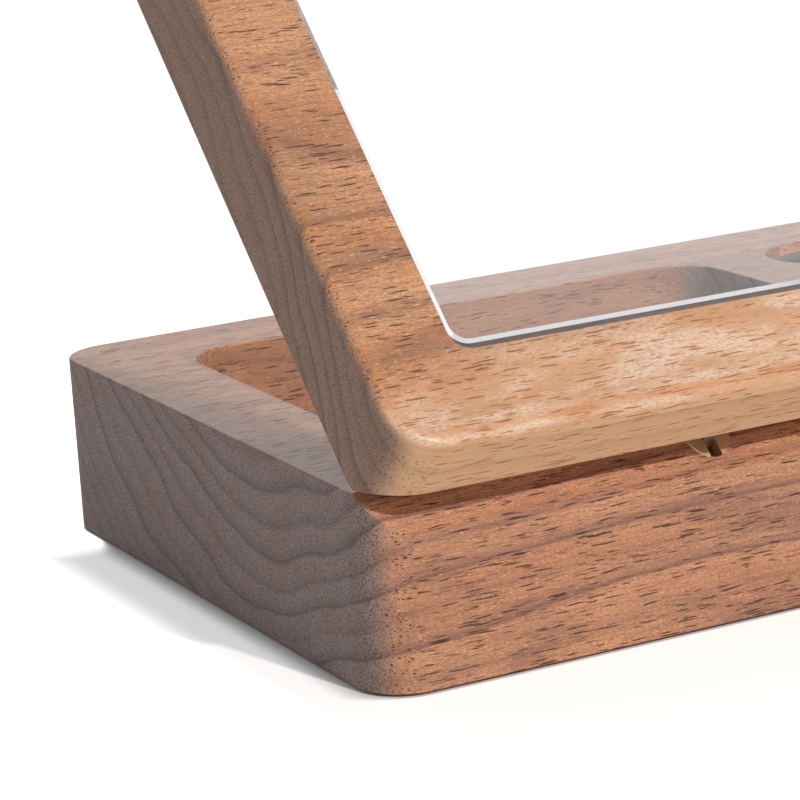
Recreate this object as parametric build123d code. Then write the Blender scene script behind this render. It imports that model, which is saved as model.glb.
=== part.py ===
from build123d import *
import math
import os

# Ring box: a long walnut box with a glazed lid on barrel hinges and a shallow drawer.
# Millimetres. X runs along the box, +Y is the hinge side, -Y the drawer side, +Z is up.
# The origin is on the table, under the middle of the base.
# Everything on the lid is modelled with the lid shut and then swung to the shown angle.

# Outside of the box
length = 337.0
depth = 144.0
base_height = 36.0
lid_thickness = 21.4
corner_radius = 10.0
base_edge_round = 0.4
lid_edge_round = 2.5
lid_inner_edge_round = 0.4

# Lid angle that is shown, and the parting line when it is shut
open_angle = 45.0
parting_gap = 0.1

# Rear bevels that let the lid swing back
rear_bevel = 7.2

# Compartments that are milled from the top
outer_wall = 19.5
centre_bar = 53.0
pocket_radius = 11.0
pocket_depth = 18.0
rim_break = 0.3
well_radius = 12.4
well_pitch = 41.1
well_depth = 15.0

# Ring cushions and felt
cushion_gap = 0.3
cushion_below_rim = 1.3
cushion_crown = 0.9
cushion_pull_in = 0.5
cushion_crown_share = 0.25
ring_slot_width = 1.6
ring_slot_depth = 9.0
felt_thickness = 1.0
felt_gap = 0.3

# Underside: a panel and a felt sheet in one rebate
base_lift = 0.3
rebate_inset = 6.0
rebate_radius = 6.0
rebate_gap = 0.2
base_felt_thickness = 1.3
panel_thickness = 3.0
web_thickness = 3.0

# Screws that hold the panel
screw_radius = 1.25
screw_head_radius = 2.4
screw_head_height = 1.4
screw_length = 11.0
screw_inset = 13.0
screw_spacing_y = 50.0
rear_screw_inset = 11.0
rear_screw_spacing = 110.0
screw_slot_width = 0.6
screw_slot_depth = 0.6

# Drawer
drawer_wall = 20.0
drawer_rear_wall = 16.0
drawer_gap = 0.3
drawer_rear_gap = 1.4
drawer_front_thickness = 10.0
drawer_front_round = 0.5
drawer_side_thickness = 5.0
drawer_side_drop = 0.4
drawer_bottom_thickness = 2.0
drawer_bottom_rebate = 2.5
drawer_felt_thickness = 0.8
joint_lap = 5.0

# Pin in the panel that stops the drawer, and the slot it runs in
stop_pin_radius = 1.5
stop_pin_setback = 22.0
stop_slot_gap = 0.3
stop_slot_margin = 14.6
stop_pin_below_felt = 0.2

# Magnets that hold the drawer shut
magnet_margin = 0.85
magnet_thickness = 2.0
press_fit = 0.02

# Drawer knob
knob_radius = 4.0
knob_neck_radius = 2.0
knob_neck_length = 3.5
knob_head_length = 6.0
knob_edge_round = 1.2
knob_stud_radius = 1.5
knob_stud_length = 7.0
knob_screw_radius = 0.9
knob_screw_head_radius = 2.2
knob_screw_head_height = 1.2
knob_screw_depth = 4.0

# Lid window and pane
rail_width = 18.0
window_radius = 4.0
pane_thickness = 3.0
pane_below_face = 0.1
pane_gap_side = 0.2
pane_gap_front = 0.2
pane_gap_rear = 1.4
ledge_side = 1.1
ledge_rear = 2.4
ledge_front = 2.4
ledge_radius = 3.2
finger_notch_length = 40.0
finger_notch_height = 2.6
finger_notch_reach = 7.0

# Barrel hinges
hinge_end_distance = 70.5
hinge_setback = 7.1
barrel_radius = 5.0
barrel_length = 13.0
barrel_fit = 0.02
barrel_stands_proud = 0.2
link_pin_inset = 3.0
link_pin_radius = 0.9
link_pin_length = 9.0
link_bore_radius = 0.96
link_end_radius = 2.0
link_thickness = 2.2
link_slot_width = 2.4
link_slot_depth = 5.6

# Derived places
half_length = length / 2
half_depth = depth / 2
rebate_top = base_felt_thickness + panel_thickness
pocket_floor = base_height - pocket_depth
cavity_top = pocket_floor - web_thickness
pocket_length = half_length - outer_wall - centre_bar / 2
pocket_width = depth - 2 * outer_wall
pocket_centre_x = centre_bar / 2 + pocket_length / 2
lid_bottom = base_height + parting_gap
lid_top = lid_bottom + lid_thickness
mirror_height = base_height + parting_gap / 2
hinge_x = half_length - hinge_end_distance
hinge_y = half_depth - hinge_setback
base_pin_z = base_height - link_pin_inset
link_length = 2 * link_pin_inset + parting_gap
lid_pin_z = base_pin_z + link_length
bevel_reach = (hinge_setback + link_pin_inset - rear_bevel) / math.sqrt(2)
drawer_width = length - 2 * drawer_wall - 2 * drawer_gap
drawer_floor_z = rebate_top + drawer_gap
drawer_top_z = cavity_top - drawer_gap
drawer_front_y = -half_depth + drawer_gap
drawer_back_y = half_depth - drawer_rear_wall - drawer_rear_gap
drawer_side_top_z = drawer_top_z - drawer_side_drop
drawer_felt_z = drawer_floor_z + drawer_bottom_thickness
stop_pin_y = -half_depth + stop_pin_setback
drawer_travel = drawer_back_y - stop_slot_margin - stop_pin_y
knob_z = (drawer_floor_z + drawer_top_z) / 2
magnet_z = (drawer_felt_z + drawer_side_top_z) / 2
magnet_radius = (drawer_side_top_z - drawer_felt_z) / 2 - magnet_margin

# Size of the cutting blocks, and how far a cut runs past the piece
cut = 40.0
clear = 1.0


def block(x_size, y_size, radius, z_low, z_high):
    """Upright block with rounded corners, centred on the origin."""
    outline = RectangleRounded(x_size, y_size, radius)
    return extrude(Pos(0, 0, z_low) * outline, z_high - z_low)


def brick(x_low, x_high, y_low, y_high, z_low, z_high):
    """Plain block between two corners."""
    solid = Box(x_high - x_low, y_high - y_low, z_high - z_low)
    return Pos((x_low + x_high) / 2, (y_low + y_high) / 2, (z_low + z_high) / 2) * solid


def disc(radius, x, y, z_low, z_high):
    """Upright cylinder."""
    return Pos(x, y, (z_low + z_high) / 2) * Cylinder(radius, z_high - z_low)


def rod_x(radius, rod_length, x, y, z):
    """Cylinder lying along X."""
    return Pos(x, y, z) * Rot(0, 90, 0) * Cylinder(radius, rod_length)


def rod_y(radius, x, y_low, y_high, z):
    """Cylinder lying along Y."""
    return Pos(x, (y_low + y_high) / 2, z) * Rot(90, 0, 0) * Cylinder(radius, y_high - y_low)


def beyond(angle, reach):
    """All that lies further than reach from the base pin, in a direction tipped back by angle."""
    lean = math.radians(angle)
    far = reach + cut / 2
    place = Pos(0, hinge_y + math.sin(lean) * far, base_pin_z + math.cos(lean) * far)
    return place * Rot(-angle, 0, 0) * Box(length + cut, cut, cut)


def swing_lid(shape):
    """Carries a shape that was modelled on the shut lid to the shown angle."""
    half_angle = open_angle / 2
    lid_pin = Axis((0, hinge_y, lid_pin_z), (-1, 0, 0))
    return swing_link(shape.rotate(lid_pin, half_angle))


def swing_link(shape):
    """Turns a shape about the base pins by half the shown angle."""
    base_pin = Axis((0, hinge_y, base_pin_z), (-1, 0, 0))
    return shape.rotate(base_pin, open_angle / 2)


def flip_to_lid(shape):
    """Mirrors a shape of the base over the parting line."""
    return mirror(shape, Plane.XY.offset(mirror_height))


def screw_places():
    """Centres of the panel screws."""
    places = []
    for side in (-1, 1):
        for row in (-1, 0, 1):
            places.append((side * (half_length - screw_inset), row * screw_spacing_y))
        places.append((side * rear_screw_spacing / 2, half_depth - rear_screw_inset))
    return places


def well_places():
    """Places of the ring wells across the box, front to rear."""
    return (-well_pitch, 0.0, well_pitch)


def one_screw(x, y, extra):
    """Countersunk screw seen from below, head flush with the panel's underside."""
    head_z = base_felt_thickness
    head = Pos(x, y, head_z + screw_head_height / 2) * Cone(
        screw_head_radius + extra, screw_radius + extra, screw_head_height
    )
    shank = disc(screw_radius + extra, x, y, head_z, head_z + screw_length)
    return head + shank


def make_base_body():
    """One milled walnut block: two pockets, three ring wells and the drawer's cavity."""
    body = block(length, depth, corner_radius, base_lift, base_height)
    body = fillet(body.faces().sort_by(Axis.Z)[-1].edges(), base_edge_round)
    body = fillet(body.faces().sort_by(Axis.Z)[0].edges(), base_edge_round)
    body -= beyond(45, bevel_reach)
    for side in (-1, 1):
        hollow = block(pocket_length, pocket_width, pocket_radius, pocket_floor, base_height + clear)
        body -= Pos(side * pocket_centre_x, 0, 0) * hollow
    for y in well_places():
        body -= disc(well_radius, 0, y, base_height - well_depth, base_height + clear)
    top = body.faces().sort_by(Axis.Z)[-1]
    rims = [edge for wire in top.inner_wires() for edge in wire.edges()]
    body = fillet(rims, rim_break)
    rebate = block(
        length - 2 * rebate_inset, depth - 2 * rebate_inset, rebate_radius, 0, rebate_top
    )
    body -= rebate
    body -= brick(
        -half_length + drawer_wall, half_length - drawer_wall,
        -half_depth - clear, half_depth - drawer_rear_wall, rebate_top, cavity_top,
    )
    for x, y in screw_places():
        hole_top = base_felt_thickness + screw_length + clear
        body -= disc(screw_radius + press_fit, x, y, rebate_top - clear, hole_top)
    for side in (-1, 1):
        body -= disc(
            barrel_radius + barrel_fit, side * hinge_x, hinge_y,
            base_height - barrel_length - barrel_fit, base_height + clear,
        )
    body -= rod_y(
        magnet_radius + press_fit, 0, half_depth - drawer_rear_wall - clear,
        half_depth - drawer_rear_wall + magnet_thickness + press_fit, magnet_z,
    )
    return body


def make_bottom_panel():
    """Plywood panel that closes the drawer's cavity from below."""
    shrink = 2 * (rebate_inset + rebate_gap)
    panel = block(
        length - shrink, depth - shrink, rebate_radius - rebate_gap, base_felt_thickness, rebate_top
    )
    for x, y in screw_places():
        panel -= one_screw(x, y, press_fit)
    panel -= disc(stop_pin_radius + press_fit, 0, stop_pin_y, 0, rebate_top + clear)
    return panel


def make_bottom_screws():
    """Group of countersunk screws under the felt."""
    screws = []
    for x, y in screw_places():
        screw = one_screw(x, y, 0)
        slot = brick(
            x - screw_head_radius, x + screw_head_radius,
            y - screw_slot_width / 2, y + screw_slot_width / 2,
            base_felt_thickness - clear, base_felt_thickness + screw_slot_depth,
        )
        screws.append(screw - slot)
    return Compound(screws)


def make_bottom_felt():
    """Felt sheet that the box stands on."""
    shrink = 2 * (rebate_inset + rebate_gap)
    return block(length - shrink, depth - shrink, rebate_radius - rebate_gap, 0, base_felt_thickness)


def make_pocket_liner(side):
    """Felt sheet on the floor of one pocket."""
    liner = block(
        pocket_length - 2 * felt_gap, pocket_width - 2 * felt_gap, pocket_radius - felt_gap,
        pocket_floor, pocket_floor + felt_thickness,
    )
    return Pos(side * pocket_centre_x, 0, 0) * liner


def make_ring_cushion(y):
    """Round crowned cushion with a slot for ring shanks, pulled in at its waist."""
    low = base_height - well_depth
    top = base_height - cushion_below_rim
    shoulder = top - cushion_crown
    radius = well_radius - cushion_gap
    waist = radius - cushion_pull_in
    profile = Polyline((0, top), (0, low), (radius, low))
    profile += ThreePointArc((radius, low), (waist, (low + shoulder) / 2), (radius, shoulder))
    crown_middle = (radius / 2, top - cushion_crown * cushion_crown_share)
    profile += ThreePointArc((radius, shoulder), crown_middle, (0, top))
    face = Plane.XZ * make_face(profile)
    cushion = Pos(0, y, 0) * revolve(face, Axis.Z)
    slot = brick(
        -well_radius, well_radius, y - ring_slot_width / 2, y + ring_slot_width / 2,
        top - ring_slot_depth, top + clear,
    )
    return cushion - slot


def make_base_barrel(side):
    """Brass half of a barrel hinge that sits in the base, bevelled at its rear to clear its twin."""
    barrel = disc(
        barrel_radius, side * hinge_x, hinge_y, base_height - barrel_length, base_height
    )
    barrel -= brick(
        side * hinge_x - link_slot_width / 2, side * hinge_x + link_slot_width / 2,
        hinge_y - cut, hinge_y + cut, base_height - link_slot_depth, base_height + clear,
    )
    barrel -= beyond(45, bevel_reach + barrel_stands_proud)
    barrel -= rod_x(link_pin_radius + press_fit, 4 * barrel_radius, side * hinge_x, hinge_y, base_pin_z)
    return barrel


def make_link(side):
    """Steel link plate between the two pins of one hinge, in the shut position."""
    low = rod_x(link_end_radius, link_thickness, side * hinge_x, hinge_y, base_pin_z)
    high = rod_x(link_end_radius, link_thickness, side * hinge_x, hinge_y, lid_pin_z)
    middle = brick(
        side * hinge_x - link_thickness / 2, side * hinge_x + link_thickness / 2,
        hinge_y - link_end_radius, hinge_y + link_end_radius, base_pin_z, lid_pin_z,
    )
    link = low + middle + high
    for z in (base_pin_z, lid_pin_z):
        link -= rod_x(link_bore_radius, 4 * barrel_radius, side * hinge_x, hinge_y, z)
    return link


def make_pins(z):
    """Group of the two hinge pins at one height."""
    pins = [rod_x(link_pin_radius, link_pin_length, side * hinge_x, hinge_y, z) for side in (-1, 1)]
    return Compound(pins)


def make_lid_frame():
    """Milled walnut lid frame with a ledge for the pane, in the shut position."""
    frame = block(length, depth, corner_radius, lid_bottom, lid_top)
    frame = fillet(frame.faces().sort_by(Axis.Z)[-1].edges(), lid_edge_round)
    frame = fillet(frame.faces().sort_by(Axis.Z)[0].edges(), lid_inner_edge_round)
    frame -= flip_to_lid(beyond(45, bevel_reach))
    seat_z = lid_top - pane_below_face - pane_thickness
    window = block(length - 2 * rail_width, depth - 2 * rail_width, window_radius, seat_z, lid_top + clear)
    through = block(
        length - 2 * (rail_width + ledge_side),
        depth - 2 * rail_width - ledge_rear - ledge_front, ledge_radius, lid_bottom - clear, seat_z + clear,
    )
    frame -= window
    frame -= Pos(0, (ledge_front - ledge_rear) / 2, 0) * through
    notch_radius = finger_notch_length
    notch = Pos(0, -half_depth - notch_radius + finger_notch_reach, lid_bottom) * Cylinder(
        notch_radius, 2 * finger_notch_height
    )
    frame -= notch
    for side in (-1, 1):
        frame -= flip_to_lid(disc(
            barrel_radius + barrel_fit, side * hinge_x, hinge_y,
            base_height - barrel_length - barrel_fit, base_height + clear,
        ))
    return frame


def make_lid_pane():
    """Clear pane, dropped in from outside, with a gap left along the hinge side."""
    pane = block(
        length - 2 * (rail_width + pane_gap_side),
        depth - 2 * rail_width - pane_gap_front - pane_gap_rear, window_radius - pane_gap_side,
        lid_top - pane_below_face - pane_thickness, lid_top - pane_below_face,
    )
    return Pos(0, (pane_gap_front - pane_gap_rear) / 2, 0) * pane


def make_drawer_front():
    """Drawer front with lapped ends for the sides and a rebate for the bottom."""
    front = brick(
        -drawer_width / 2, drawer_width / 2, drawer_front_y,
        drawer_front_y + drawer_front_thickness, drawer_floor_z, drawer_top_z,
    )
    front = fillet(front.faces().sort_by(Axis.Y)[0].edges(), drawer_front_round)
    inner_y = drawer_front_y + drawer_front_thickness
    for side in (-1, 1):
        middle = side * (drawer_width / 2 - drawer_side_thickness / 2)
        front -= brick(
            middle - drawer_side_thickness / 2, middle + drawer_side_thickness / 2,
            inner_y - joint_lap, inner_y + clear, drawer_floor_z - clear, drawer_top_z + clear,
        )
    front -= brick(
        -drawer_width / 2, drawer_width / 2, inner_y - drawer_bottom_rebate, inner_y + clear,
        drawer_floor_z - clear, drawer_felt_z,
    )
    front -= rod_y(knob_stud_radius + press_fit, 0, drawer_front_y - clear, inner_y + clear, knob_z)
    front -= rod_y(
        knob_screw_head_radius + press_fit, 0, inner_y - knob_screw_head_height, inner_y + clear, knob_z
    )
    return front


def make_drawer_side(side):
    """Drawer side, rebated along its foot for the bottom and at its rear end for the back."""
    outer = side * drawer_width / 2
    inner = side * (drawer_width / 2 - drawer_side_thickness)
    low_y = drawer_front_y + drawer_front_thickness - joint_lap
    plank = brick(
        min(outer, inner), max(outer, inner), low_y, drawer_back_y,
        drawer_floor_z, drawer_side_top_z,
    )
    rebate_edge = inner + side * drawer_bottom_rebate
    plank -= brick(
        min(inner, rebate_edge), max(inner, rebate_edge), low_y - clear, drawer_back_y + clear,
        drawer_floor_z - clear, drawer_felt_z,
    )
    plank -= brick(
        min(inner, rebate_edge), max(inner, rebate_edge), drawer_back_y - drawer_side_thickness,
        drawer_back_y + clear, drawer_floor_z - clear, drawer_side_top_z + clear,
    )
    return plank


def make_drawer_back():
    """Drawer back with a pocket for its magnet."""
    half_width = drawer_width / 2 - drawer_side_thickness + drawer_bottom_rebate
    plank = brick(
        -half_width, half_width, drawer_back_y - drawer_side_thickness, drawer_back_y,
        drawer_felt_z, drawer_side_top_z,
    )
    plank -= rod_y(
        magnet_radius + press_fit, 0, drawer_back_y - magnet_thickness - press_fit,
        drawer_back_y + clear, magnet_z,
    )
    return plank


def make_drawer_bottom():
    """Thin drawer bottom with the long slot that the stop pin runs in."""
    half_width = drawer_width / 2 - drawer_side_thickness + drawer_bottom_rebate
    front_y = drawer_front_y + drawer_front_thickness - drawer_bottom_rebate
    sheet = brick(-half_width, half_width, front_y, drawer_back_y, drawer_floor_z, drawer_felt_z)
    slot_radius = stop_pin_radius + stop_slot_gap
    sheet -= brick(
        -slot_radius, slot_radius, stop_pin_y, stop_pin_y + drawer_travel,
        drawer_floor_z - clear, drawer_felt_z + clear,
    )
    for y in (stop_pin_y, stop_pin_y + drawer_travel):
        sheet -= disc(slot_radius, 0, y, drawer_floor_z - clear, drawer_felt_z + clear)
    return sheet


def make_drawer_liner():
    """Felt sheet on the drawer's bottom."""
    half_width = drawer_width / 2 - drawer_side_thickness - felt_gap
    return brick(
        -half_width, half_width, drawer_front_y + drawer_front_thickness + felt_gap,
        drawer_back_y - drawer_side_thickness - felt_gap,
        drawer_felt_z, drawer_felt_z + drawer_felt_thickness,
    )


def make_stop_pin():
    """Brass pin that is pressed up through the panel."""
    return disc(stop_pin_radius, 0, stop_pin_y, base_felt_thickness, drawer_felt_z - stop_pin_below_felt)


def make_drawer_magnet():
    """Magnet in the back of the drawer."""
    return rod_y(magnet_radius, 0, drawer_back_y - magnet_thickness, drawer_back_y, magnet_z)


def make_catch_magnet():
    """Magnet in the rear wall of the cavity."""
    wall_y = half_depth - drawer_rear_wall
    return rod_y(magnet_radius, 0, wall_y, wall_y + magnet_thickness, magnet_z)


def make_drawer_knob():
    """Turned brass knob whose stud goes through the drawer front."""
    neck_y = drawer_front_y - knob_neck_length
    head = rod_y(knob_radius, 0, neck_y - knob_head_length, neck_y, knob_z)
    head = fillet(head.edges().filter_by(GeomType.CIRCLE), knob_edge_round)
    neck = rod_y(knob_neck_radius, 0, neck_y, drawer_front_y, knob_z)
    stud = rod_y(knob_stud_radius, 0, drawer_front_y, drawer_front_y + knob_stud_length, knob_z)
    knob = head + neck + stud
    stud_end = drawer_front_y + knob_stud_length
    bore_y = stud_end - knob_screw_depth
    return knob - rod_y(knob_screw_radius + press_fit, 0, bore_y, stud_end + clear, knob_z)


def make_knob_screw():
    """Screw that draws the knob's stud tight from inside the drawer."""
    inner_y = drawer_front_y + drawer_front_thickness
    stud_end = drawer_front_y + knob_stud_length
    seat_y = inner_y - knob_screw_head_height
    head = rod_y(knob_screw_head_radius, 0, seat_y, inner_y, knob_z)
    shank = rod_y(knob_screw_radius, 0, stud_end - knob_screw_depth, seat_y, knob_z)
    slot = brick(
        -knob_screw_head_radius, knob_screw_head_radius, inner_y - screw_slot_depth, inner_y + clear,
        knob_z - screw_slot_width / 2, knob_z + screw_slot_width / 2,
    )
    return head + shank - slot


def make_parts():
    """Every piece of the box under its own name, with the lid at the shown angle."""
    parts = {
        "base_body": make_base_body(),
        "bottom_panel": make_bottom_panel(),
        "bottom_screws": make_bottom_screws(),
        "bottom_felt": make_bottom_felt(),
        "catch_magnet": make_catch_magnet(),
        "drawer_stop_pin": make_stop_pin(),
        "hinge_base_pins": make_pins(base_pin_z),
        "drawer_front": make_drawer_front(),
        "drawer_back": make_drawer_back(),
        "drawer_bottom": make_drawer_bottom(),
        "drawer_liner": make_drawer_liner(),
        "drawer_magnet": make_drawer_magnet(),
        "drawer_knob": make_drawer_knob(),
        "drawer_knob_screw": make_knob_screw(),
        "lid_frame": swing_lid(make_lid_frame()),
        "lid_pane": swing_lid(make_lid_pane()),
        "hinge_lid_pins": swing_lid(make_pins(lid_pin_z)),
    }
    for name, y in zip(("front", "middle", "rear"), well_places()):
        parts["ring_cushion_" + name] = make_ring_cushion(y)
    for name, side in (("left", -1), ("right", 1)):
        parts["pocket_liner_" + name] = make_pocket_liner(side)
        parts["drawer_side_" + name] = make_drawer_side(side)
        barrel = make_base_barrel(side)
        parts["hinge_base_barrel_" + name] = barrel
        parts["hinge_lid_barrel_" + name] = swing_lid(flip_to_lid(barrel))
        parts["hinge_link_" + name] = swing_link(make_link(side))
    return parts


def main():
    os.makedirs("parts", exist_ok=True)
    for name, shape in make_parts().items():
        export_step(shape, "parts/" + name + ".step")
    print("drawer travel", round(drawer_travel, 3))


main()
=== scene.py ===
"""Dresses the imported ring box: walnut, clear pane, brass hinges, ring cushions, felt and drawer fittings."""
import math

import bmesh
import bpy
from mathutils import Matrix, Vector


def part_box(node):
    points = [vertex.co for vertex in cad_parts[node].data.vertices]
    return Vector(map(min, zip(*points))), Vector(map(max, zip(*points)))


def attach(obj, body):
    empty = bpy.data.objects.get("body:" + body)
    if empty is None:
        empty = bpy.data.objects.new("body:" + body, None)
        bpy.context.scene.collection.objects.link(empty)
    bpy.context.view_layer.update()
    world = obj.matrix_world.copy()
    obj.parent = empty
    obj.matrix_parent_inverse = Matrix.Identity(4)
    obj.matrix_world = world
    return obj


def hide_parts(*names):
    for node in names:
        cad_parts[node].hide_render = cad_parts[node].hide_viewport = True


bl_info = {
    "name": "Ring box with drawer",
    "version": (1, 0, 0),
    "blender": (4, 5, 0),
    "location": "3D View > Sidebar > Ring box",
    "description": "Finishes a walnut ring box with a framed clear lid and a shallow drawer",
    "category": "Object",
}

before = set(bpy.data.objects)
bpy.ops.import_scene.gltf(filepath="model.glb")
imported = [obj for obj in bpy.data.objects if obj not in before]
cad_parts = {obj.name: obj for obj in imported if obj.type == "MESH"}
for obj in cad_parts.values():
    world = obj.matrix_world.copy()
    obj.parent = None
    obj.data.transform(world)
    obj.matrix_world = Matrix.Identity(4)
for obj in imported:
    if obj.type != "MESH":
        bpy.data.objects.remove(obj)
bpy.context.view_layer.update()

MM = 0.001

# The lid: how far it stands open at rest, and Y and Z in mm of its hinge pin when shut and at rest
OPEN_ANGLE = math.radians(45)
LID_PIN_SHUT = (64.9, 39.1)
LID_PIN_OPEN = (67.2344, 38.6357)

# The box's outline in mm: the radius of its upright corners, and X and Y of one corner's centre
CORNER = 10
CORNER_CENTRE = (158.5, 62, 0)

# The pane in mm, as it lies with the lid shut
PANE_LOW = Vector((-150.3, -53.8, 54.4))
PANE_HIGH = Vector((150.3, 52.6, 57.4))
PANE_CORNER = 3.8

# The walnut boards in mm: Y and Z of the middle of their growth rings
BASE_HEART = (22, 105)
LID_HEART = (-30, -110)

# The milled part of the base in mm: half its length, half its width and its height
MILLED_HALF_BOX = (150, 53, 36.2)

# The lid's sapwood: as Y in mm in the middle of the shut lid, where it starts and from where on it's palest,
# and how much that changes for each mm along X
SAPWOOD_BAND = (34, 50)
SAPWOOD_LEAN = -0.12

# The painted line of shade along the lid's outer edge, in mm from a corner's centre: where it comes in and
# where it ends
RIDGE_START = (5.6, 6.9)
RIDGE_END = (8.6, 7.6)

# The felts: piece, CAD node, corner radius in mm, body and what it lies on
FELTS = (
    ("felt_pocket_left", "pocket_liner_left", 10.7, "base", "base_body"),
    ("felt_pocket_right", "pocket_liner_right", 10.7, "base", "base_body"),
    ("felt_drawer", "drawer_liner", 0.6, "drawer", "drawer_bottom"),
    ("felt_under", "bottom_felt", 5.8, "base", "bottom_panel"),
)

# The knob's turning: each step is a radius in mm and how far it goes on outwards to the next one
KNOB_STEPS = (
    (1.5, 7.0), (2.7, 0.0), (2.9, 0.3), (2.9, 0.3), (2.3, 0.6), (1.9, 1.1),
    (1.9, 1.2), (2.4, 0.8), (3.3, 0.6), (3.85, 0.8), (4.0, 0.9), (4.0, 1.2),
    (3.75, 0.5), (3.35, 0.4), (3.3, 0.15), (3.1, 0.1), (2.3, 0.35), (1.2, 0.2),
)

# The cushions' crown: each step's size as a share of the last one, and its rise as a share of the crown
CROWN_STEPS = ((0.9, 0.38), (0.86, 0.3), (0.8, 0.2), (0.7, 0.1), (0.5, 0.02))

# Sun, sky and floor
SUN_FROM = Vector((-0.17, 0.77, 0.61))
SUN_POWER = 1.85
SUN_WIDTH = math.radians(2.5)
SUN_COLOUR = (1.0, 0.95, 0.89)
SKY_COLOUR = (0.93, 0.97, 1.0, 1)
SKY_POWER = 0.4
WHITE = (1, 1, 1, 1)
FLOOR_SIZE = 6
FLOOR_DROP = 0.2 * MM
FLOOR_COLOUR = (0.86, 0.85, 0.85, 1)

# Painted glow on the floor: where it starts to thin out the box's shadow and where that ends, as X or Y in mm,
# and behind the box where the sun comes in and the painted shade narrows
PAINTED_GLOW_RIGHT = (90, 125)
PAINTED_GLOW_FRONT = (-43, -55)
PAINTED_GLOW_FAR = (177, 187)
SUNNY_REAR = (64, 73)

# How wide the painted shade along the box's outline is in mm where no sun falls and where it does, and how
# much the floor glows outside it and, as painted light, more where the shadow is thinned
SHADED_EDGE = 5.3
SUNNY_EDGE = 0.3
FLOOR_GLOW = 0.43
PAINTED_GLOW = 0.6

# Camera
CAMERA_PLACE = (0.400676, 0.554035, 0.187335)
CAMERA_TURN = [math.radians(angle) for angle in (75.917, 3.614, 152.687)]
CAMERA_LENS = 148.667
CAMERA_SENSOR = 36
CAMERA_NEAR = 10 * MM


def linear(share):
    """How much light a screen gives for a share from 0 to 1."""
    if share <= 0.04045:
        return share / 12.92
    return ((share + 0.055) / 1.055) ** 2.4


def tone(red, green, blue):
    """A colour written in 8-bit steps, as the linear values that Blender's sockets take."""
    return tuple(linear(value / 255) for value in (red, green, blue))


# Walnut: painted glints between the fibres, painted shade on the base's pocket walls and flat top, and stains
# on the ends
PAINTED_GLINT = tone(242, 212, 190)
POCKET_PAINTED_SHADE = tone(122, 84, 62)
TOP_PAINTED_SHADE = tone(116, 86, 66)
END_STAIN = tone(150, 116, 96)

# The lid's sapwood: all of it, painted light on its rear face, its late wood, painted sheen in whitish flecks,
# a painted line of shade along its round edge, and its pores
SAP_BODY = tone(226, 176, 134)
SAP_PAINTED_LIGHT = tone(255, 212, 166)
SAP_LATE = tone(206, 142, 88)
SAP_PAINTED_SHEEN = tone(244, 220, 200)
SAP_PAINTED_SHADE_LINE = tone(206, 130, 70)
SAP_PORE = tone(178, 112, 64)


def length(name, text, default):
    """A length property with its name, its description and its default in mm."""
    return bpy.props.FloatProperty(name=name, description=text, default=default * MM, unit="LENGTH")


def colour(name, text, *default):
    """A colour property with its name, its description and its default in 8-bit steps."""
    return bpy.props.FloatVectorProperty(
        name=name, description=text, size=3, subtype="COLOR", min=0, max=1, default=tone(*default))


class RingBoxSizes(bpy.types.PropertyGroup):
    """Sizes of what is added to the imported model."""

    pane_edge: length("Pane edge", "Width of the polished edge round the pane", 0.6)
    felt_edge: length("Felt edge", "How far the cut edge of a felt sheet is rounded", 0.3)
    cushion_edge: length("Cushion edge", "Roundness of a ring cushion's rim and slot", 0.9)
    cushion_crown: length("Cushion crown", "How far the middle of a ring cushion stands over its rim", 0.9)
    slot_width: length("Ring slot width", "Width of the slot that holds a ring", 1.6)
    slot_depth: length("Ring slot depth", "Depth of the slot that holds a ring", 9)
    ring_spacing: bpy.props.FloatProperty(
        name="Growth ring spacing",
        description="Distance in mm between the walnut's growth rings",
        default=5.5)


class RingBoxColours(bpy.types.PropertyGroup):
    """Colours of the woods, metals and cloths."""

    walnut_light: colour("Walnut light", "Pale bands of the base's walnut", 230, 170, 128)
    walnut_warm: colour("Walnut warm", "Orange-brown bands of the base's walnut", 218, 152, 108)
    walnut_dark: colour("Walnut dark", "Purple-brown bands of the base's walnut", 136, 92, 78)
    lid_light: colour("Lid light", "Pale bands of the lid's walnut", 232, 172, 124)
    lid_warm: colour("Lid warm", "Orange-brown bands of the lid's walnut", 218, 146, 92)
    lid_dark: colour("Lid dark", "Purple-brown bands of the lid's walnut", 142, 94, 70)
    walnut_pore: colour("Walnut pore", "Inside of the open pores", 58, 32, 24)
    walnut_end: colour("Walnut end", "End grain of the base", 160, 140, 134)
    lid_end: colour("Lid end", "End grain of the lid", 166, 134, 117)
    end_dark: colour("End grain dark", "Dark specks and rings of the end grain", 56, 44, 44)
    maple: colour("Maple", "Drawer sides", 222, 196, 158)
    birch: colour("Birch", "Face of the plywood", 214, 186, 148)
    brass: colour("Brass", "Hinges, screws and knob", 206, 174, 132)
    steel: colour("Steel", "Hinge pins and links", 170, 150, 128)
    nickel: colour("Nickel", "Magnets", 215, 213, 208)
    velvet: colour("Velvet", "Cloth of the ring cushions", 76, 72, 72)
    felt: colour("Felt", "Felt in the pockets, in the drawer and under the box", 96, 98, 95)


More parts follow.
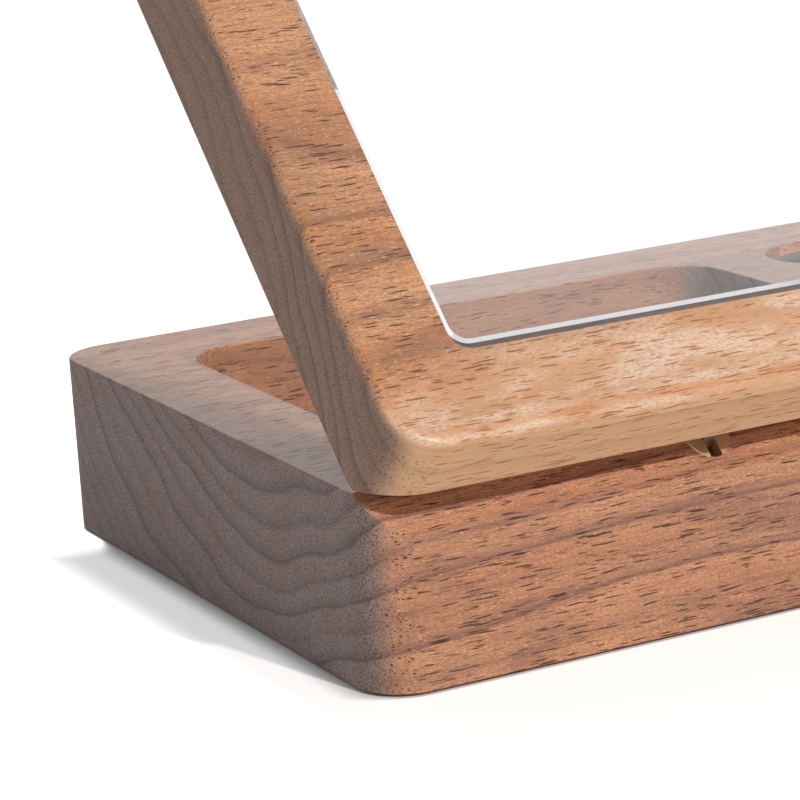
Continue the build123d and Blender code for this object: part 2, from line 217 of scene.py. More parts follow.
class Paint:
    """A short way to place and join the nodes of one material."""

    def __init__(self, name, world=None):
        self.material = world or bpy.data.materials.new(name)
        self.material.use_nodes = True
        self.tree = self.material.node_tree
        self.tree.nodes.clear()

    def add(self, kind, inputs=None, **settings):
        """A node with its settings, its inputs joined or set by name or number."""
        node = self.tree.nodes.new("ShaderNode" + kind)
        count = len(self.tree.nodes)
        node.location = (180 * (count % 12), -240 * (count // 12))
        for key, value in settings.items():
            setattr(node, key, value)
        for key, value in (inputs or {}).items():
            if isinstance(value, bpy.types.NodeSocket):
                self.tree.links.new(value, node.inputs[key])
            else:
                node.inputs[key].default_value = value
        return node

    def maths(self, operation, first, second=0.0, third=0.0):
        """One step of arithmetic."""
        inputs = {0: first, 1: second, 2: third}
        return self.add("Math", inputs, operation=operation).outputs[0]

    def times(self, first, second, plus=None):
        """Two values multiplied, and a third added where there is one."""
        if plus is None:
            return self.maths("MULTIPLY", first, second)
        return self.maths("MULTIPLY_ADD", first, second, plus)

    def larger(self, first, second):
        """The larger of two values."""
        return self.maths("MAXIMUM", first, second)

    def vector(self, operation, *values, out=0):
        """One step of arithmetic with vectors."""
        return self.add("VectorMath", dict(enumerate(values)), operation=operation).outputs[out]

    def axes(self, vector):
        """The X, Y and Z of a vector."""
        return self.add("SeparateXYZ", {0: vector}).outputs

    def facing(self):
        """The direction that the surface faces."""
        return self.add("TexCoord").outputs["Normal"]

    def place(self, scale=(1, 1, 1), turn=(0, 0, 0), shift=(0, 0, 0), source=None):
        """Places on the piece in mm, scaled, then turned, then shifted; or a source's places treated so."""
        if source is None:
            source = self.add("TexCoord").outputs["Object"]
            scale = [value / MM for value in scale]
        inputs = {"Vector": source, "Scale": scale, "Rotation": turn, "Location": shift}
        return self.add("Mapping", inputs).outputs[0]

    def noise(self, source, size, shift=(0, 0, 0), detail=2.0, rough=0.5, out=0):
        """Cloudy noise with features of the given sizes in mm along X, Y and Z."""
        where = self.place([1 / value for value in size], shift=shift, source=source)
        inputs = {"Vector": where, "Scale": 1.0, "Detail": detail, "Roughness": rough}
        return self.add("TexNoise", inputs).outputs[out]

    def ramp(self, value, *stops, mode="LINEAR"):
        """Turns a value into another by stops of (place, value)."""
        node = self.add("ValToRGB", {0: value})
        node.color_ramp.interpolation = mode
        points = node.color_ramp.elements
        while len(points) < len(stops):
            points.new(0.5)
        for point, (at, shade) in zip(points, stops):
            point.position = at
            point.color = (shade, shade, shade, 1)
        return node.outputs[0]

    def spread(self, value, low, high, to_low=0.0, to_high=1.0):
        """Maps a value from one range to another with a soft start and end."""
        inputs = {0: value, 1: low, 2: high, 3: to_low, 4: to_high}
        return self.add("MapRange", inputs, interpolation_type="SMOOTHSTEP").outputs[0]

    def mix(self, share, first, second):
        """Mixes two colours by a share from 0 to 1."""
        node = self.add("Mix", {0: share}, data_type="RGBA")
        for socket, value in ((node.inputs[6], first), (node.inputs[7], second)):
            if isinstance(value, bpy.types.NodeSocket):
                self.tree.links.new(value, socket)
            else:
                socket.default_value = (*value, 1)
        return node.outputs[2]

    def reach(self, where):
        """How far out a place in mm lies from a corner's centre; it's CORNER all along the box's outline."""
        place = self.vector("ABSOLUTE", where)
        place = self.vector("SUBTRACT", place, CORNER_CENTRE)
        place = self.vector("MAXIMUM", place, (0, 0, 0))
        return self.vector("LENGTH", self.place((1, 1, 0), source=place), out="Value")

    def bump(self, height, strength, distance):
        """A surface direction that follows a relief; the distance is in mm."""
        inputs = {"Height": height, "Strength": strength, "Distance": distance * MM}
        return self.add("Bump", inputs).outputs[0]

    def blend(self, share, first, second):
        """Mixes two shaders by a share from 0 to 1."""
        return self.add("MixShader", {0: share, 1: first.outputs[0], 2: second.outputs[0]})

    def finish(self, shader):
        """The material, with the shader as its surface."""
        self.add("OutputMaterial", {"Surface": shader.outputs[0]})
        return self.material


def scaled(base, share):
    """A colour made darker or paler by a share."""
    return tuple(value * share for value in base)


class Walnut(Paint):
    """Walnut with its grain along X: growth rings, stains, fibres and pores, solid through the piece."""

    def __init__(self, name, heart, seed, turn, shift):
        super().__init__(name)
        self.seed = seed
        self.turn = turn
        self.normal = self.facing()
        self.board = self.place(turn=(turn, 0, 0), shift=(0, *shift))
        # the tree's growth wanders along the board, and its fibres ripple
        self.drift = self.stray((150, 45, 45), 18, shift=(seed, 0, 0), detail=1.5)
        self.wavy = self.stray((9, 3, 3), 1.1)
        self.ring, self.late = self.growth(heart)
        self.patches = self.noise(self.drift, (34, 8, 8), shift=(seed, 3, 0), detail=4, rough=0.65)
        self.fibres = self.noise(self.wavy, (12, 0.5, 0.5), detail=4, rough=0.7)
        self.grains = self.noise(self.board, (0.6, 0.28, 0.28), detail=1)
        self.frays = self.noise(self.board, (1.3, 0.5, 0.5), shift=(0, 0, 7))
        # pores crowd at both ends of a growth ring and in the darker stains
        crowd = self.ramp(self.ring, (0.0, 1.0), (0.35, 0.7), (0.75, 0.4), (0.9, 1.0), (1.0, 1.0))
        self.crowd = self.times(crowd, self.spread(self.patches, 0.34, 0.6, 0.35, 1.2))
        self.small = self.pores(5.5, 0.36, 0.18, 1.1, shift=31)
        self.large = self.pores(7.0, 0.5, 0.2, 1.75, shift=0)
        self.open = self.larger(self.large, self.pores(24, 0.95, 0.125, 0.8, shift=63))

    def stray(self, size, far, shift=(0, 0, 0), detail=2.0):
        """The board's places, moved across the grain by noise; far is twice the greatest move, in mm."""
        wander = self.noise(self.board, size, shift=shift, detail=detail, out=1)
        wander = self.vector("SUBTRACT", wander, (0.5, 0.5, 0.5))
        return self.vector("MULTIPLY_ADD", wander, (0, far, far), self.board)

    def growth(self, heart):
        """How far on in its growth ring a place lies, and how dark the ring's late wood makes it."""
        across = self.place((0, 1, 1), shift=(0, -heart[0], -heart[1]), source=self.drift)
        radius = self.vector("LENGTH", across, out="Value")
        spacing = bpy.context.scene.ring_box_sizes.ring_spacing
        uneven = self.noise(self.board, (60, 13, 13), shift=(0, self.seed, 0), detail=1.5)
        rings = self.times(uneven, 0.45, plus=self.maths("DIVIDE", radius, spacing))
        ring = self.maths("FRACT", rings)
        late = self.ramp(
            ring, (0.0, 0.4), (0.1, 0.0), (0.5, 0.1), (0.78, 0.45), (0.93, 0.95), (1.0, 0.4), mode="EASE")
        # some rings are fainter than others
        year = self.maths("FLOOR", rings)
        strength = self.add("TexWhiteNoise", {"W": year}, noise_dimensions="1D").outputs[0]
        return ring, self.times(late, self.spread(strength, 0.0, 1.0, 0.4, 1.0))

    def pores(self, along, apart, width, more, shift):
        """Short tubes along the grain; along and apart are in mm, and width is a share of apart."""
        where = self.place((1 / along, 1 / apart, 1 / apart), shift=(shift, shift, 0), source=self.wavy)
        cells = self.add("TexVoronoi", {"Vector": where, "Scale": 1.0})
        chance = self.add("SeparateColor", {0: cells.outputs["Color"]}).outputs
        edge = self.times(chance[1], width * 0.7, plus=width * 0.3)
        edge = self.times(self.frays, width * 1.2, plus=edge)
        open_pore = self.maths("LESS_THAN", chance[0], self.times(self.crowd, more))
        depth = self.spread(self.maths("SUBTRACT", edge, cells.outputs["Distance"]), -0.04, 0.06)
        return self.times(depth, open_pore)

    def sides(self, light, warm, dark):
        """Colour along the grain: broad bands, stains, late wood, fibres and painted glints."""
        bands = self.noise(self.drift, (220, 16, 16), shift=(0, self.seed, 5), detail=3, rough=0.6)
        glints = self.noise(self.board, (1.1, 0.3, 0.3), shift=(9, 0, 0), detail=1)
        side = self.mix(self.spread(bands, 0.35, 0.65), warm, light)
        side = self.mix(self.spread(self.patches, 0.46, 0.72, 0.0, 0.6), side, dark)
        side = self.mix(self.late, side, dark)
        side = self.mix(self.spread(self.fibres, 0.35, 0.72, 0.0, 0.56), side, dark)
        side = self.mix(self.spread(self.grains, 0.38, 0.7, 0.0, 0.55), side, dark)
        # painted highlight: whitish glints speckled into the colour
        return self.mix(self.spread(glints, 0.64, 0.74, 0.0, 0.5), side, PAINTED_GLINT)

    def pale_to_the_rear(self, side, pore, band):
        """Sapwood that turns paler across the band, in mm along Y, with the colour of its pores; with it
        painted light on the rear face, painted sheen on the upper face and a painted line of shade along the
        round edge.
        """
        # the upper face is the one that faces away from the ground when the lid is shut
        up = (0, math.sin(self.turn), math.cos(self.turn))
        upward = self.vector("DOT_PRODUCT", self.normal, up, out="Value")
        place = self.axes(self.drift)
        sap = self.spread(self.times(place[0], SAPWOOD_LEAN, plus=place[1]), *band)
        clouds = self.noise(self.drift, (22, 5, 5), shift=(self.seed, 8, 2), detail=4, rough=0.6)
        flecks = self.noise(self.board, (0.9, 0.28, 0.28), shift=(4, 0, 0))
        side = self.mix(self.times(sap, 0.6), side, SAP_BODY)
        # painted light: within the sapwood, the faces that don't look upward, above all the rear face, are
        # made paler
        rear = self.times(sap, self.spread(upward, 0.6, 0.1, 0.0, 0.55))
        side = self.mix(rear, side, SAP_PAINTED_LIGHT)
        side = self.mix(self.times(sap, self.times(self.late, 0.6)), side, SAP_LATE)
        # painted sheen: whitish flecks on the upper face within the sapwood
        painted_sheen = self.spread(clouds, 0.4, 0.6, 0.1, 1.0)
        painted_sheen = self.times(painted_sheen, self.spread(flecks, 0.34, 0.58, 0.2, 1.0))
        painted_sheen = self.times(painted_sheen, self.spread(upward, 0.35, 0.9))
        side = self.mix(self.times(sap, self.times(painted_sheen, 0.7)), side, SAP_PAINTED_SHEEN)
        # painted shade: an orange line where the upper face turns into the round edge and loses its sheen, a
        # little way in from the outline
        reach = self.reach(self.wavy)
        painted_shade_line = self.times(self.spread(reach, *RIDGE_START), self.spread(reach, *RIDGE_END))
        painted_shade_line = self.times(painted_shade_line, self.spread(upward, 0.6, 0.8))
        painted_shade_line = self.times(painted_shade_line, self.spread(clouds, 0.35, 0.65, 0.6, 0.4))
        painted_shade_line = self.times(painted_shade_line, self.times(sap, 0.7, plus=0.3))
        side = self.mix(painted_shade_line, side, SAP_PAINTED_SHADE_LINE)
        return side, self.mix(self.times(sap, 0.85), pore, SAP_PORE)

    def milled(self, side, half_box):
        """Painted shade on the walls inside half_box and on the flat top, and where the top is."""
        inside = 1.0
        for value, limit in zip(self.axes(self.board), half_box):
            within = self.maths("LESS_THAN", self.maths("ABSOLUTE", value), limit)
            inside = self.times(within, inside)
        # painted shade: the walls inside half_box are darkened
        side = self.mix(self.times(inside, 0.6), side, POCKET_PAINTED_SHADE)
        top = self.spread(self.axes(self.normal)[2], 0.9, 0.98)
        # painted shade: the flat top is darkened
        return self.mix(self.times(top, 0.55), side, TOP_PAINTED_SHADE), top

    def ends(self, light, dark, speckle):
        """Colour across the grain: stains, rings and specks; speckle is how dark the specks are."""
        specks = self.noise(self.board, (3, 0.34, 0.3), rough=0.7)
        face = self.mix(self.spread(self.patches, 0.42, 0.7, 0.0, 0.3), light, END_STAIN)
        face = self.mix(self.times(self.late, 0.58), face, dark)
        face = self.mix(self.spread(specks, 0.47, 0.6, 0.0, speckle), face, dark)
        return self.mix(self.times(self.large, 0.6), face, dark)


def walnut(name, heart, seed, tones, speckle, turn=0.0, shift=(0, 0), sapwood=None, milled=None):
    """Oiled walnut.

    heart is where the growth rings have their middle, as Y and Z in mm in the board's own directions.
    tones are the pale, warm and dark colours of its sides and the colour of its ends.
    speckle is how dark the ends' specks are, from 0 to 1.
    turn and shift bring places on the piece, in mm, into the board's own directions.
    Between the two values of sapwood, in mm along the board's Y, the wood and its pores turn paler, and
    painted light, painted sheen and a painted line of shade are added on the lid.
    Inside milled, half a length, half a width and a height in mm, painted shade darkens the walls, and painted
    shade darkens the flat top too.
    """
    colours = bpy.context.scene.ring_box_colours
    wood = Walnut(name, heart, seed, turn, shift)
    light, warm, dark, end_light = (tuple(shade) for shade in tones)
    side = wood.sides(light, warm, dark)
    pore = tuple(colours.walnut_pore)
    top = 0.0
    if sapwood:
        side, pore = wood.pale_to_the_rear(side, pore, sapwood)
    if milled:
        side, top = wood.milled(side, milled)
    side = wood.mix(wood.times(wood.small, 0.6), side, pore)
    side = wood.mix(wood.times(wood.open, 0.9), side, pore)
    # the share of end grain, by how far the surface faces along the board
    end = wood.spread(wood.maths("ABSOLUTE", wood.axes(wood.normal)[0]), 0.5, 0.93)
    shade = wood.mix(end, side, wood.ends(end_light, tuple(colours.end_dark), speckle))
    rough = wood.times(end, 0.25, plus=wood.spread(wood.fibres, 0.2, 0.8, 0.42, 0.58))
    # the oil shines on the sides and most on the milled top, and neither on the ends nor much in the pores
    polish = wood.times(end, -0.35, plus=0.35)
    polish = wood.times(top, 0.3, plus=polish)
    polish = wood.times(polish, wood.times(wood.open, -0.9, plus=1.0))
    relief = wood.times(wood.large, -1.0, plus=wood.times(wood.fibres, 0.4))
    relief = wood.times(wood.small, -0.5, plus=relief)
    relief = wood.times(wood.grains, 0.3, plus=relief)
    return wood.finish(wood.add("BsdfPrincipled", {
        "Base Color": shade, "Roughness": rough, "Normal": wood.bump(relief, 0.4, 0.1),
        "Coat Weight": polish, "Coat Roughness": 0.34, "Specular IOR Level": 0.35}))


def pale_wood(name, base, layers=False):
    """Straight-grained pale wood; with layers, the glued edge of plywood."""
    paint = Paint(name)
    board = paint.place()
    bands = paint.noise(board, (160, 9, 9), detail=3, rough=0.6)
    fibres = paint.noise(board, (18, 0.5, 0.5), detail=3, rough=0.6)
    flecks = paint.noise(board, (2.4, 0.4, 0.4), detail=1)
    base = tuple(base)
    deep = scaled(base, 0.62)
    shade = paint.mix(paint.spread(bands, 0.35, 0.7, 0.0, 0.5), base, deep)
    shade = paint.mix(paint.spread(fibres, 0.4, 0.75, 0.0, 0.4), shade, deep)
    shade = paint.mix(paint.spread(flecks, 0.66, 0.8, 0.0, 0.45), shade, deep)
    if layers:
        upward = paint.maths("ABSOLUTE", paint.axes(paint.facing())[2])
        edge = paint.maths("SUBTRACT", 1.0, paint.spread(upward, 0.3, 0.8))
        ply = paint.maths("FRACT", paint.times(paint.axes(board)[2], 0.9))
        band = paint.ramp(ply, (0.0, 1.0), (0.08, 0.15), (0.5, 0.0), (0.52, 0.6), (0.92, 0.6), (1.0, 1.0))
        shade = paint.mix(paint.times(edge, band), shade, scaled(base, 0.4))
    return paint.finish(paint.add("BsdfPrincipled", {
        "Base Color": shade, "Roughness": paint.spread(fibres, 0.2, 0.8, 0.45, 0.6),
        "Normal": paint.bump(fibres, 0.25, 0.08)}))


def metal(name, base, rough, streak, tarnish=0.35, bare=1.0):
    """Metal with a little tarnish and fine marks of streak's size in mm; bare is how metallic it looks."""
    paint = Paint(name)
    board = paint.place()
    marks = paint.noise(board, streak, detail=3, rough=0.7)
    stains = paint.noise(board, (4, 4, 4), detail=4, rough=0.65)
    shade = paint.mix(paint.spread(stains, 0.4, 0.75, 0.0, tarnish), tuple(base), scaled(base, 0.5))
    rough = paint.times(stains, 0.25, plus=paint.spread(marks, 0.2, 0.8, rough - 0.12, rough))
    return paint.finish(paint.add("BsdfPrincipled", {
        "Base Color": shade, "Metallic": bare, "Roughness": rough, "Normal": paint.bump(marks, 0.3, 0.02)}))


def cloth(name, base, pile):
    """Felt or velvet with a soft sheen, paler where it stands up; pile is how many tufts lie in a mm."""
    paint = Paint(name)
    board = paint.place()
    matted = paint.noise(board, [1 / pile] * 3, detail=4, rough=0.7)
    brushed = paint.noise(board, [1 / 0.12] * 3, detail=3, rough=0.55)
    lying = paint.place((1.1, 2.7, 2.7), source=board)
    threads = paint.add("TexVoronoi", {"Vector": lying, "Scale": pile}).outputs[0]
    shade = paint.mix(paint.spread(matted, 0.3, 0.7), scaled(base, 0.62), scaled(base, 1.25))
    shade = paint.mix(paint.spread(brushed, 0.4, 0.7, 0.0, 0.4), shade, scaled(base, 1.4))
    relief = paint.maths("ADD", matted, paint.times(threads, 0.5))
    return paint.finish(paint.add("BsdfPrincipled", {
        "Base Color": shade, "Roughness": 0.95, "Sheen Weight": 0.25, "Sheen Roughness": 0.4,
        "Normal": paint.bump(relief, 0.5, 0.15), "Specular IOR Level": 0.15}))


def clear_pane(name):
    """Clear sheet with a faint veil of dust, which lets the lamps' rays through to what lies under it."""
    paint = Paint(name)
    smears = paint.noise(paint.place(), (60, 25, 25), detail=4, rough=0.6)
    glass = paint.add("BsdfPrincipled", {
        "Base Color": (0.99, 1.0, 1.0, 1), "Roughness": 0.0, "IOR": 1.5, "Transmission Weight": 1.0})
    veil = paint.add("BsdfDiffuse", {"Color": (0.8, 0.8, 0.86, 1)})
    # the narrow polished edge at the rear is less clear than the faces
    normal = paint.facing()
    up = (0, math.sin(OPEN_ANGLE), math.cos(OPEN_ANGLE))
    leaning = paint.vector("DOT_PRODUCT", normal, up, out="Value")
    rim = paint.times(paint.spread(leaning, 0.99, 0.95), paint.spread(leaning, 0.2, 0.4))
    rim = paint.times(rim, paint.spread(paint.axes(normal)[1], 0.7, 0.85))
    share = paint.times(rim, 0.7, plus=paint.spread(smears, 0.3, 0.75, 0.045, 0.08))
    sheet = paint.blend(share, glass, veil)
    passing = paint.add("BsdfTransparent", {"Color": (0.8, 0.82, 0.82, 1)})
    return paint.finish(paint.blend(paint.add("LightPath").outputs["Is Shadow Ray"], sheet, passing))


def seen_white(paint):
    """One for rays that see the background straight, in glass or in gloss, and none for light on its way."""
    path = paint.add("LightPath").outputs
    direct = paint.larger(path["Is Camera Ray"], path["Is Glossy Ray"])
    direct = paint.larger(direct, path["Is Transmission Ray"])
    return paint.times(direct, paint.maths("LESS_THAN", path["Diffuse Depth"], 0.5))


def white_floor(name):
    """Matt floor that shines as white as the background and shows the box's shadow near the box, with painted
    glow that thins it and painted shade under and beside the box.
    """
    paint = Paint(name)
    seen = seen_white(paint)
    where = paint.place()
    x, y, _ = paint.axes(where)
    # painted light: past the box's right end the floor glows more, thinning the shadow out towards the front
    # and with its distance from the box
    painted_glow_beyond = paint.times(paint.spread(x, *PAINTED_GLOW_RIGHT), paint.spread(y, *PAINTED_GLOW_FRONT))
    painted_glow_beyond = paint.larger(painted_glow_beyond, paint.spread(x, *PAINTED_GLOW_FAR))
    # painted shade: the glow fades away under the box and, where no sun falls, close beside it, so the shadow
    # is deepest there
    sunny = paint.larger(painted_glow_beyond, paint.spread(y, *SUNNY_REAR))
    edge = paint.times(sunny, SUNNY_EDGE - SHADED_EDGE, plus=CORNER + SHADED_EDGE)
    painted_shade_lift = paint.spread(paint.reach(where), CORNER - SUNNY_EDGE, edge)
    strength = paint.times(paint.times(painted_glow_beyond, PAINTED_GLOW, plus=FLOOR_GLOW), painted_shade_lift)
    matt = paint.add("BsdfDiffuse", {"Color": FLOOR_COLOUR})
    glow = paint.add("Emission", {"Color": WHITE, "Strength": paint.times(seen, strength)})
    return paint.finish(paint.add("AddShader", {0: matt.outputs[0], 1: glow.outputs[0]}))


def dress(material, *nodes):
    """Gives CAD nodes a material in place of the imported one."""
    for name in nodes:
        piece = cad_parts[name]
        piece.data.materials.clear()
        piece.data.materials.append(material)


def fresh():
    """Deselects everything, so that the next operator acts on the new piece alone."""
    bpy.ops.object.select_all(action="DESELECT")


def edit():
    """Goes into edit mode on the active piece, with all of it selected."""
    bpy.ops.object.mode_set(mode="EDIT")
    bpy.ops.mesh.select_all(action="SELECT")


def shape(piece, kind, test):
    """Selects in edit mode the faces, edges or vertices that pass the test, and nothing else."""
    bpy.ops.mesh.select_all(action="DESELECT")
    bpy.ops.mesh.select_mode(type={"faces": "FACE", "edges": "EDGE", "verts": "VERT"}[kind])
    mesh = bmesh.from_edit_mesh(piece.data)
    for item in getattr(mesh, kind):
        item.select_set(bool(test(item)))
    mesh.select_flush_mode()
    bmesh.update_edit_mesh(piece.data)


def close(piece, name, angle):
    """Leaves edit mode, puts the piece's place into its mesh, and smooths its shading."""
    bpy.ops.mesh.select_all(action="SELECT")
    bpy.ops.mesh.normals_make_consistent(inside=False)
    bpy.ops.object.mode_set(mode="OBJECT")
    bpy.ops.object.transform_apply(location=True, rotation=True, scale=True)
    bpy.ops.object.shade_smooth_by_angle(angle=math.radians(angle))
    piece.name = name
    piece.data.name = name
    return piece


def upright(edge):
    """True for an edge that runs straight up."""
    run = edge.verts[0].co - edge.verts[1].co
    return abs(run.z) > 0.9 * run.length


def on_rim(edge):
    """True for an edge between a level face and an upright one."""
    first, second = edge.link_faces
    return not upright(edge) and abs(first.normal.z - second.normal.z) > 0.5


def rounded_slab(name, low, high, corner, edge, segments=3):
    """A flat piece between two corners, its upright edges rounded by corner and its rims by edge."""
    fresh()
    bpy.ops.mesh.primitive_cube_add(size=1, location=(low + high) / 2)
    piece = bpy.context.object
    edit()
    bpy.ops.transform.resize(value=high - low)
    shape(piece, "edges", upright)
    bpy.ops.mesh.bevel(offset=corner, segments=10, affect="EDGES")
    shape(piece, "edges", on_rim)
    bpy.ops.mesh.bevel(offset=edge, segments=segments, affect="EDGES")
    # the large flat faces share no shading, or a clear piece would bend what shows through it
    return close(piece, name, angle=10)


def open_lid(piece):
    """Turns a piece that was made in the shut lid to where the lid stands, place and all in its mesh."""
    fresh()
    piece.select_set(True)
    bpy.context.view_layer.objects.active = piece
    edit()
    shut = Vector((0, *LID_PIN_SHUT)) * MM
    bpy.ops.transform.rotate(value=OPEN_ANGLE, orient_axis="X", center_override=shut)
    bpy.ops.transform.translate(value=Vector((0, *LID_PIN_OPEN)) * MM - shut)
    bpy.ops.object.mode_set(mode="OBJECT")


def ring_cushion(name, low, high, sizes):
    """A round foam pad, split by the slot for a ring, with rounded rims and two crowned tops."""
    fresh()
    middle = (low + high) / 2
    radius = (high.x - low.x) / 2
    rim = high.z - sizes.cushion_crown
    floor = high.z - sizes.slot_depth
    half = sizes.slot_width / 2
    tiny = 0.01 * MM
    bpy.ops.mesh.primitive_cylinder_add(
        vertices=72, radius=radius, depth=rim - low.z, location=(middle.x, middle.y, (rim + low.z) / 2))
    piece = bpy.context.object
    bpy.ops.object.mode_set(mode="EDIT")
    cuts = [((0, middle.y + side, 0), (0, 1, 0)) for side in (-half, half)]
    for place, across in (*cuts, ((0, 0, floor), (0, 0, 1))):
        bpy.ops.mesh.select_all(action="SELECT")
        bpy.ops.mesh.bisect(plane_co=place, plane_no=across)
    # heights in the piece's own space
    top = rim - piece.location.z
    base = floor - piece.location.z

    def in_slot(face):
        centre = face.calc_center_median()
        return abs(centre.y) < half and centre.z > base + tiny

    shape(piece, "faces", in_slot)
    bpy.ops.mesh.delete(type="FACE")
    for wall in (-half, half):
        shape(piece, "verts", lambda vert: abs(vert.co.y - wall) < tiny and vert.co.z > base - tiny)
        bpy.ops.mesh.edge_face_add()
    shape(piece, "verts", lambda vert: abs(vert.co.y) < half + tiny and abs(vert.co.z - base) < tiny)
    bpy.ops.mesh.edge_face_add()
    bpy.ops.mesh.select_all(action="SELECT")
    bpy.ops.mesh.normals_make_consistent(inside=False)
    shape(piece, "edges", lambda edge: all(abs(vert.co.z - top) < tiny for vert in edge.verts))
    bpy.ops.mesh.bevel(offset=sizes.cushion_edge, segments=6, affect="EDGES")

    def on_top(face, side):
        centre = face.calc_center_median()
        return face.normal.z > 0.99 and centre.z > top - tiny and centre.y * side > 0

    # each half swells towards its own middle
    swell = 0.9 * (radius + half) / 2
    for side in (-1, 1):
        shape(piece, "faces", lambda face: on_top(face, side))
        centre = (middle.x, middle.y + side * swell, rim)
        for share, rise in CROWN_STEPS:
            bpy.ops.mesh.extrude_region_move()
            bpy.ops.transform.resize(value=(share, share, 1), center_override=centre)
            bpy.ops.transform.translate(value=(0, 0, rise * sizes.cushion_crown))
    return close(piece, name, angle=60)


def turned_knob(name, low, high):
    """A knob turned round Y, from its stud at the inner end to its face at the outer end."""
    fresh()
    middle = (low + high) / 2
    radius = KNOB_STEPS[0][0]
    bpy.ops.mesh.primitive_circle_add(
        vertices=56, radius=radius * MM, fill_type="NGON", location=(middle.x, high.y, middle.z),
        rotation=(math.radians(90), 0, 0))
    piece = bpy.context.object
    edit()
    along = high.y
    for wide, run in KNOB_STEPS:
        if wide != radius:
            bpy.ops.mesh.extrude_region_move()
            centre = (middle.x, along, middle.z)
            bpy.ops.transform.resize(value=(wide / radius,) * 3, center_override=centre)
            radius = wide
        if run:
            bpy.ops.mesh.extrude_region_move(TRANSFORM_OT_translate={"value": (0, -run * MM, 0)})
            along -= run * MM
    return close(piece, name, angle=35)


def rides(piece, material, body, node):
    """Gives a piece its material, hangs it on the body it moves with, and hides the CAD node in whose place it
    stands.
    """
    piece.data.materials.append(material)
    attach(piece, body)
    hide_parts(node)


class RINGBOX_OT_stage(bpy.types.Operator):
    """Add the white floor, the plain light and the camera"""

    bl_idname = "ringbox.stage"
    bl_label = "Floor, light and camera"

    def execute(self, context):
        context.scene.view_settings.view_transform = "Standard"
        self.add_floor(context)
        self.add_world(context)
        self.add_sun(context)
        self.add_camera(context)
        return {"FINISHED"}

    def add_floor(self, context):
        fresh()
        bpy.ops.mesh.primitive_plane_add(size=FLOOR_SIZE, location=(0, 0, -FLOOR_DROP))
        floor = context.object
        floor.name = "floor"
        floor.data.materials.append(white_floor("white_floor"))

    def add_world(self, context):
        """A soft sky that lights the box, behind which a plain white is seen."""
        world = bpy.data.worlds.new("studio")
        context.scene.world = world
        paint = Paint("studio", world)
        soft = paint.add("Background", {"Color": SKY_COLOUR, "Strength": SKY_POWER})
        plain = paint.add("Background", {"Color": WHITE, "Strength": 1.0})
        mixed = paint.blend(seen_white(paint), soft, plain)
        paint.add("OutputWorld", {"Surface": mixed.outputs[0]})

    def add_sun(self, context):
        fresh()
        bpy.ops.object.light_add(type="SUN", location=SUN_FROM)
        key = context.object
        key.name = "key_light"
        key.data.energy = SUN_POWER
        key.data.angle = SUN_WIDTH
        key.data.color = SUN_COLOUR
        key.rotation_euler = SUN_FROM.to_track_quat("Z", "Y").to_euler()

    def add_camera(self, context):
        fresh()
        bpy.ops.object.camera_add(location=CAMERA_PLACE, rotation=CAMERA_TURN)
        camera = context.object
        camera.name = "camera"
        camera.data.lens = CAMERA_LENS
        camera.data.sensor_width = CAMERA_SENSOR
        camera.data.clip_start = CAMERA_NEAR
        context.scene.camera = camera


class RINGBOX_OT_walnut(bpy.types.Operator):
    """Give the base, the lid's frame and the drawer's front their walnut"""

    bl_idname = "ringbox.walnut"
    bl_label = "Walnut"

    def execute(self, context):
        colours = context.scene.ring_box_colours
        tones = (colours.walnut_light, colours.walnut_warm, colours.walnut_dark, colours.walnut_end)
        base = walnut("walnut_base", BASE_HEART, seed=3.7, tones=tones, speckle=0.7, milled=MILLED_HALF_BOX)
        dress(base, "base_body", "drawer_front")
        # the lid's board is turned back to lie as it does when the box is shut
        y, z = LID_PIN_OPEN
        cosine, sine = math.cos(OPEN_ANGLE), math.sin(OPEN_ANGLE)
        shift = (LID_PIN_SHUT[0] - (y * cosine - z * sine), LID_PIN_SHUT[1] - (y * sine + z * cosine))
        tones = (colours.lid_light, colours.lid_warm, colours.lid_dark, colours.lid_end)
        lid = walnut("walnut_lid", LID_HEART, seed=11.3, tones=tones, speckle=0.5, turn=OPEN_ANGLE,
                     shift=shift, sapwood=SAPWOOD_BAND)
        dress(lid, "lid_frame")
        return {"FINISHED"}


class RINGBOX_OT_pale_woods(bpy.types.Operator):
    """Give the drawer's sides and the plywood panels their woods"""

    bl_idname = "ringbox.pale_woods"
    bl_label = "Maple and plywood"

    def execute(self, context):
        colours = context.scene.ring_box_colours
        dress(pale_wood("maple", colours.maple), "drawer_side_left", "drawer_side_right", "drawer_back")
        dress(pale_wood("birch_plywood", colours.birch, layers=True), "drawer_bottom", "bottom_panel")
        return {"FINISHED"}


class RINGBOX_OT_hardware(bpy.types.Operator):
    """Give the hinges, screws, pins and magnets their metals"""

    bl_idname = "ringbox.hardware"
    bl_label = "Hinges, screws and magnets"

    def execute(self, context):
        colours = context.scene.ring_box_colours
        brass = metal("brass_turned", colours.brass, 0.36, (0.12, 3, 3), bare=0.5)
        steel = metal("steel_brushed", colours.steel, 0.36, (0.6, 0.15, 3))
        nickel = metal("nickel_plate", colours.nickel, 0.2, (0.6, 0.6, 0.6), tarnish=0.15)
        dress(brass, "hinge_base_barrel_left", "hinge_base_barrel_right", "hinge_lid_barrel_left",
              "hinge_lid_barrel_right", "bottom_screws", "drawer_knob_screw", "drawer_stop_pin")
        dress(steel, "hinge_base_pins", "hinge_lid_pins", "hinge_link_left", "hinge_link_right")
        dress(nickel, "catch_magnet", "drawer_magnet")
        return {"FINISHED"}


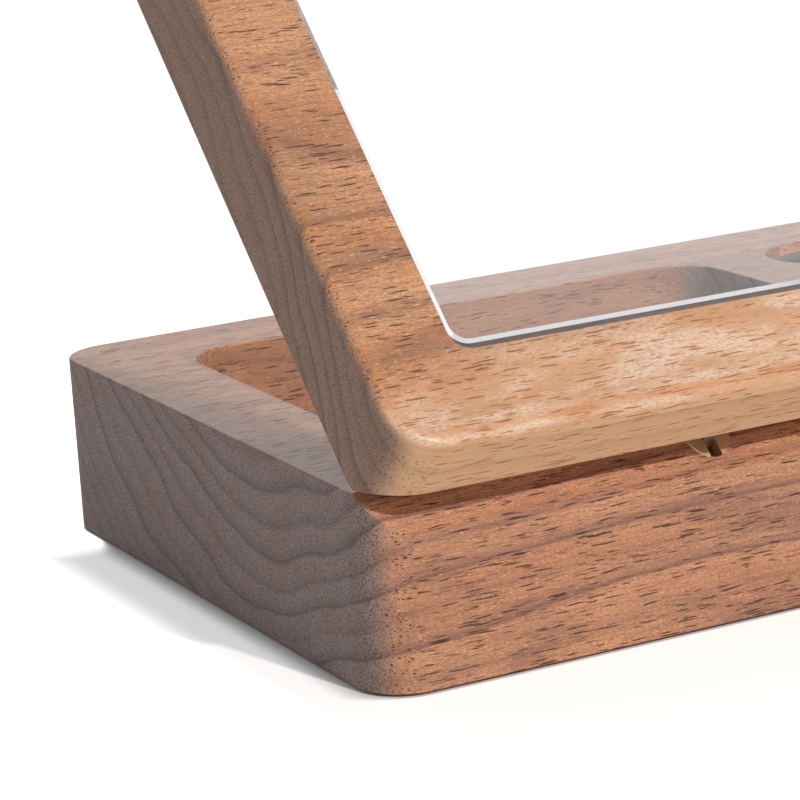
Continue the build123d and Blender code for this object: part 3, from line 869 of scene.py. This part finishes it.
class RINGBOX_OT_pane(bpy.types.Operator):
    """Make the lid's clear pane with its polished edge"""

    bl_idname = "ringbox.pane"
    bl_label = "Lid pane"

    def execute(self, context):
        edge = context.scene.ring_box_sizes.pane_edge
        piece = rounded_slab(
            "clear_pane", PANE_LOW * MM, PANE_HIGH * MM, PANE_CORNER * MM, edge, segments=1)
        open_lid(piece)
        rides(piece, clear_pane("clear_sheet"), "lid", "lid_pane")
        return {"FINISHED"}


class RINGBOX_OT_cushions(bpy.types.Operator):
    """Make the three slotted ring cushions"""

    bl_idname = "ringbox.cushions"
    bl_label = "Ring cushions"

    def execute(self, context):
        velvet = cloth("velvet_pile", context.scene.ring_box_colours.velvet, 3.2)
        for name in ("front", "middle", "rear"):
            node = "ring_cushion_" + name
            piece = ring_cushion("cushion_" + name, *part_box(node), context.scene.ring_box_sizes)
            rides(piece, velvet, "base", node)
        return {"FINISHED"}


class RINGBOX_OT_felts(bpy.types.Operator):
    """Cut the felt sheets for the pockets, the drawer and the underside"""

    bl_idname = "ringbox.felts"
    bl_label = "Felt"

    def execute(self, context):
        felt = cloth("pressed_felt", context.scene.ring_box_colours.felt, 2.2)
        for name, node, corner, body, under in FELTS:
            low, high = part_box(node)
            piece = rounded_slab(name, low, high, corner * MM, context.scene.ring_box_sizes.felt_edge)
            rides(piece, felt, body, node)
        return {"FINISHED"}


class RINGBOX_OT_knob(bpy.types.Operator):
    """Turn the drawer's brass knob"""

    bl_idname = "ringbox.knob"
    bl_label = "Drawer knob"

    def execute(self, context):
        piece = turned_knob("knob_turned", *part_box("drawer_knob"))
        brass = metal("brass_polished", context.scene.ring_box_colours.brass, 0.26, (3, 0.1, 3), tarnish=0.2)
        rides(piece, brass, "drawer", "drawer_knob")
        return {"FINISHED"}


class RINGBOX_PT_pieces(bpy.types.Panel):
    """Lists the box's pieces, sizes and colours"""

    bl_label = "Ring box"
    bl_idname = "RINGBOX_PT_pieces"
    bl_space_type = "VIEW_3D"
    bl_region_type = "UI"
    bl_category = "Ring box"

    def draw(self, context):
        for step in STEPS:
            self.layout.operator(step.bl_idname)
        for group in (context.scene.ring_box_sizes, context.scene.ring_box_colours):
            column = self.layout.column()
            for name in group.__annotations__:
                column.prop(group, name)


STEPS = (RINGBOX_OT_stage, RINGBOX_OT_walnut, RINGBOX_OT_pale_woods, RINGBOX_OT_hardware, RINGBOX_OT_pane,
         RINGBOX_OT_cushions, RINGBOX_OT_felts, RINGBOX_OT_knob)
CLASSES = (RingBoxSizes, RingBoxColours, *STEPS, RINGBOX_PT_pieces)


def register():
    for item in CLASSES:
        bpy.utils.register_class(item)
    bpy.types.Scene.ring_box_sizes = bpy.props.PointerProperty(type=RingBoxSizes)
    bpy.types.Scene.ring_box_colours = bpy.props.PointerProperty(type=RingBoxColours)


def unregister():
    del bpy.types.Scene.ring_box_colours
    del bpy.types.Scene.ring_box_sizes
    for item in reversed(CLASSES):
        bpy.utils.unregister_class(item)


def main():
    register()
    bpy.ops.ringbox.stage()
    bpy.ops.ringbox.walnut()
    bpy.ops.ringbox.pale_woods()
    bpy.ops.ringbox.hardware()
    bpy.ops.ringbox.pane()
    bpy.ops.ringbox.cushions()
    bpy.ops.ringbox.felts()
    bpy.ops.ringbox.knob()


if __name__ == "__main__":
    main()
